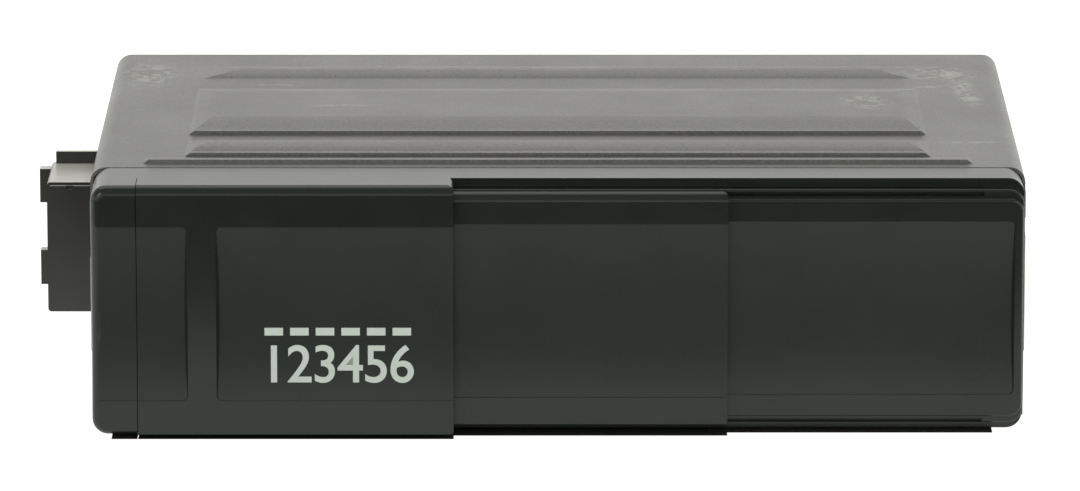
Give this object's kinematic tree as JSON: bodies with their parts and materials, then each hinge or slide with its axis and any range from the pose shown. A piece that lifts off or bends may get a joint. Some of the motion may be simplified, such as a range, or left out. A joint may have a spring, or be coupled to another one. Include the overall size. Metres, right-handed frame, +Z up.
{
  "type": "car cd changer",
  "caption": "Trunk-mounted disc changer: ribbed sheet-metal case, plastic front with sliding doors over a magazine of disc trays, lifting player inside, cable connector on the side.",
  "frame": {"origin": "centre of the metal case's underside", "axes": "+X to the right seen from the front, +Y to the rear, +Z up out of the cover"},
  "size_m": [0.2808, 0.1851, 0.0745],
  "materials": {
    "cover_paint": "textured satin",
    "case_zinc": "zinc plated",
    "front_plastic": "fine moulded grain",
    "connector_plastic": "satin",
    "contact_metal": "tinned",
    "label_film": "printed film",
    "screw_steel": "black zinc",
    "dial_plastic": "satin",
    "chassis_zinc": "zinc plated",
    "damper_rubber": "matte",
    "spring_steel": "drawn wire",
    "magazine_plastic": "satin",
    "tray_plastic": "satin",
    "disc_silver": "mirror layer under clear plastic",
    "button_plastic": "satin",
    "circuit_board": "solder mask",
    "board_parts": "satin",
    "acetal": "natural",
    "turntable_plastic": "satin",
    "polished_steel": "ground",
    "motor_can": "plated",
    "pickup_metal": "die cast",
    "lens_glass": "coated"
  },
  "bodies": {
    "case": {"top_cover": "cover_paint", "bottom_case": "case_zinc", "bezel_frame": "front_plastic", "left_end_cap": "front_plastic", "fixed_panel": "front_plastic", "slot_fascia": "front_plastic", "connector_housing": "connector_plastic", "connector_cover": "connector_plastic", "connector_pins": "contact_metal", "side_labels": "label_film", "cover_screws": "screw_steel", "bezel_screws": "screw_steel", "side_mount_nuts": "screw_steel", "mech_frame": "chassis_zinc", "magazine_bay": "chassis_zinc", "oil_dampers": "damper_rubber", "suspension_springs": "spring_steel", "main_board": "circuit_board", "eject_switch": "circuit_board", "board_components": "board_parts", "eject_pivot": "polished_steel", "lift_motor": "motor_can"},
    "outer_door": {"outer_door": "front_plastic"},
    "middle_door": {"middle_door": "front_plastic"},
    "eject_button": {"eject_button": "button_plastic"},
    "magazine": {"magazine_body": "magazine_plastic", "magazine_top": "magazine_plastic"},
    "tray_1": {"disc_tray_1": "tray_plastic", "disc_1": "disc_silver"},
    "tray_2": {"disc_tray_2": "tray_plastic", "disc_2": "disc_silver"},
    "tray_3": {"disc_tray_3": "tray_plastic", "disc_3": "disc_silver"},
    "tray_4": {"disc_tray_4": "tray_plastic", "disc_4": "disc_silver"},
    "tray_5": {"disc_tray_5": "tray_plastic", "disc_5": "disc_silver"},
    "tray_6": {"disc_tray_6": "tray_plastic", "disc_6": "disc_silver"},
    "eject_lever": {"eject_lever": "acetal"},
    "player": {"play_deck": "chassis_zinc", "lift_pins": "polished_steel", "spindle_motor": "motor_can", "sled_rods": "polished_steel", "feed_motor": "motor_can", "clamp_pin": "polished_steel"},
    "turntable": {"turntable": "turntable_plastic"},
    "pickup": {"optical_pickup": "pickup_metal", "pickup_lens": "lens_glass"},
    "feed_screw": {"feed_screw": "polished_steel"},
    "clamp_arm": {"clamp_arm": "chassis_zinc"},
    "clamp_disc": {"clamp_disc": "acetal"},
    "front_cam": {"front_cam_slide": "chassis_zinc"},
    "rear_cam": {"rear_cam_slide": "chassis_zinc"},
    "sync_shaft": {"sync_shaft": "polished_steel", "rack_pinions": "acetal", "lift_gear": "acetal"},
    "motor_pinion": {"motor_pinion": "acetal"},
    "dial_left": {"angle_dial_left": "dial_plastic"},
    "dial_right": {"angle_dial_right": "dial_plastic"}
  },
  "joints": [
    {"name": "outer_door_slide", "type": "slide", "parent": "case", "child": "outer_door", "axis": [1, 0, 0], "range_m": [0, 0.148]},
    {"name": "middle_door_slide", "type": "slide", "parent": "case", "child": "middle_door", "axis": [1, 0, 0], "range_m": [0, 0.0711]},
    {"name": "eject_button_push", "type": "slide", "parent": "case", "child": "eject_button", "axis": [0, 1, 0], "range_m": [0, 0.0025], "stiffness_N_per_m": 300, "springref_m": -0.002},
    {"name": "magazine_slide", "type": "slide", "parent": "case", "child": "magazine", "axis": [0, 1, 0], "range_m": [-0.016, 0]},
    {"name": "tray_1_slide", "type": "slide", "parent": "magazine", "child": "tray_1", "axis": [1, 0, 0], "range_m": [0, 0.1196]},
    {"name": "tray_2_slide", "type": "slide", "parent": "magazine", "child": "tray_2", "axis": [1, 0, 0], "range_m": [0, 0.1196]},
    {"name": "tray_3_slide", "type": "slide", "parent": "magazine", "child": "tray_3", "axis": [1, 0, 0], "range_m": [0, 0.1196]},
    {"name": "tray_4_slide", "type": "slide", "parent": "magazine", "child": "tray_4", "axis": [1, 0, 0], "range_m": [0, 0.1196]},
    {"name": "tray_5_slide", "type": "slide", "parent": "magazine", "child": "tray_5", "axis": [1, 0, 0], "range_m": [0, 0.1196]},
    {"name": "tray_6_slide", "type": "slide", "parent": "magazine", "child": "tray_6", "axis": [1, 0, 0], "range_m": [0, 0.1196]},
    {"name": "eject_lever_swing", "type": "hinge", "parent": "case", "child": "eject_lever", "pos_m": [-0.06, 0.069, 0.031], "axis": [0, 0, 1], "range_deg": [-24.1, 0]},
    {"name": "player_lift", "type": "slide", "parent": "case", "child": "player", "axis": [0, 0, -1], "range_m": [-0.0335, 0]},
    {"name": "front_cam_shift", "type": "slide", "parent": "case", "child": "front_cam", "axis": [1, 0, 0], "range_m": [0, 0.02401]},
    {"name": "rear_cam_shift", "type": "slide", "parent": "case", "child": "rear_cam", "axis": [1, 0, 0], "range_m": [0, 0.02401]},
    {"name": "sync_shaft_turn", "type": "hinge", "parent": "case", "child": "sync_shaft", "pos_m": [0.092, -0.0015, 0.0608], "axis": [0, -1, 0], "range_deg": [0, 196.6]},
    {"name": "motor_pinion_turn", "type": "hinge", "parent": "case", "child": "motor_pinion", "pos_m": [0.1028, 0.0738, 0.0608], "axis": [0, -1, 0], "range_deg": [-393.2, 0]},
    {"name": "turntable_spin", "type": "hinge", "parent": "player", "child": "turntable", "pos_m": [0.066, -0.0015, 0.0171], "axis": [0, 0, 1], "continuous": true},
    {"name": "clamp_arm_tilt", "type": "hinge", "parent": "player", "child": "clamp_arm", "pos_m": [0.066, 0.0628, 0.0244], "axis": [1, 0, 0], "range_deg": [-4, 0]},
    {"name": "clamp_disc_spin", "type": "hinge", "parent": "clamp_arm", "child": "clamp_disc", "pos_m": [0.066, -0.0015, 0.022], "axis": [0, 0, 1], "continuous": true},
    {"name": "pickup_slide", "type": "slide", "parent": "player", "child": "pickup", "axis": [0, 1, 0], "range_m": [0, 0.0335]},
    {"name": "feed_screw_turn", "type": "hinge", "parent": "player", "child": "feed_screw", "pos_m": [0.086, 0.03, 0.0115], "axis": [0, 1, 0], "range_deg": [0, 4021]},
    {"name": "angle_dial_left_turn", "type": "hinge", "parent": "case", "child": "dial_left", "pos_m": [-0.1299, 0.033, 0.014], "axis": [-1, 0, 0], "range_deg": [0, 90]},
    {"name": "angle_dial_right_turn", "type": "hinge", "parent": "case", "child": "dial_right", "pos_m": [0.1299, 0.033, 0.014], "axis": [1, 0, 0], "range_deg": [0, 90]}
  ],
  "couplings": [
    {"joint": "middle_door_slide", "follows": "outer_door_slide", "ratio": 0.47973},
    {"joint": "eject_lever_swing", "follows": "magazine_slide", "rad_per_m": 26.18},
    {"joint": "front_cam_shift", "follows": "player_lift", "ratio": -0.71642},
    {"joint": "rear_cam_shift", "follows": "player_lift", "ratio": -0.71642},
    {"joint": "sync_shaft_turn", "follows": "player_lift", "rad_per_m": -102.35},
    {"joint": "motor_pinion_turn", "follows": "player_lift", "rad_per_m": 204.69},
    {"joint": "clamp_disc_spin", "follows": "turntable_spin", "ratio": 1},
    {"joint": "feed_screw_turn", "follows": "pickup_slide", "rad_per_m": 2094.4}
  ]
}
